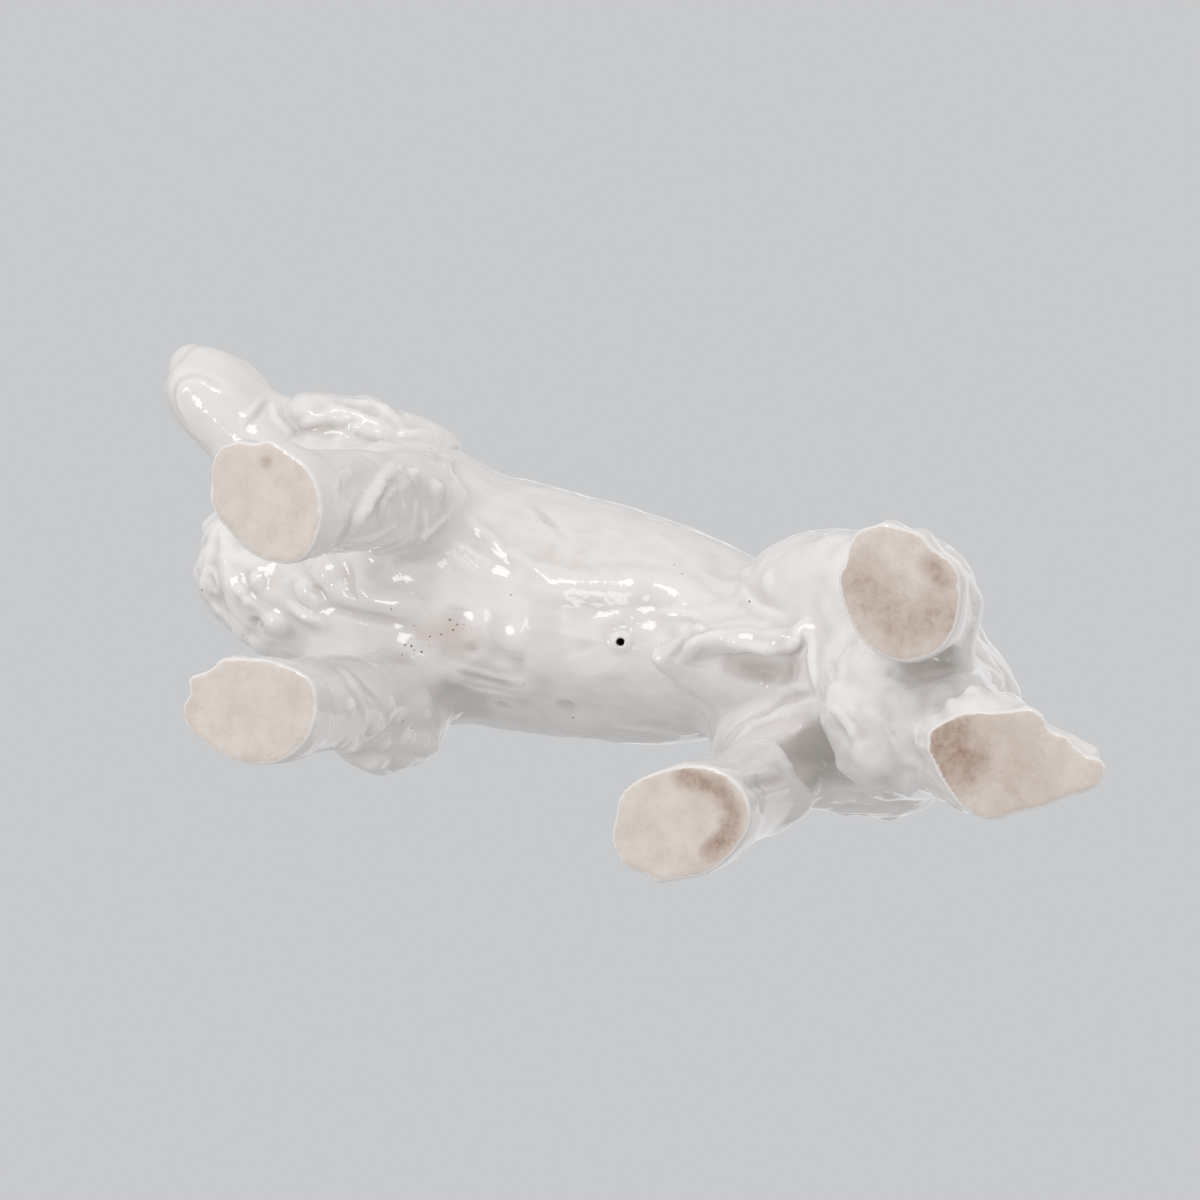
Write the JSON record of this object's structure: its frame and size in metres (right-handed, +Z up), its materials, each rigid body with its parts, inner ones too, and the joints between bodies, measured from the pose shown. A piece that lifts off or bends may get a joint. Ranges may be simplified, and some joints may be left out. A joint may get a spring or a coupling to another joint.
{
  "type": "porcelain dog figurine",
  "caption": "White glazed porcelain dog with long ears and a feathered tail, walking with its head turned to its left, standing on its paws and tail end.",
  "frame": {"origin": "middle of the bounding box, on the plane that the paws and the tail stand on", "axes": "+Z up, -X the way the dog's body faces, -Y the dog's left, which its head turns to"},
  "size_m": [0.3586, 0.1034, 0.24],
  "materials": {
    "white_glaze": "clear gloss glaze over white porcelain, unglazed on the soles"
  },
  "bodies": {
    "root": {"torso": "white_glaze", "head": "white_glaze", "ear_left": "white_glaze", "ear_right": "white_glaze", "foreleg_left": "white_glaze", "foreleg_right": "white_glaze", "hind_leg_left": "white_glaze", "hind_leg_right": "white_glaze", "tail": "white_glaze", "belly_tuft": "white_glaze"}
  },
  "joints": []
}
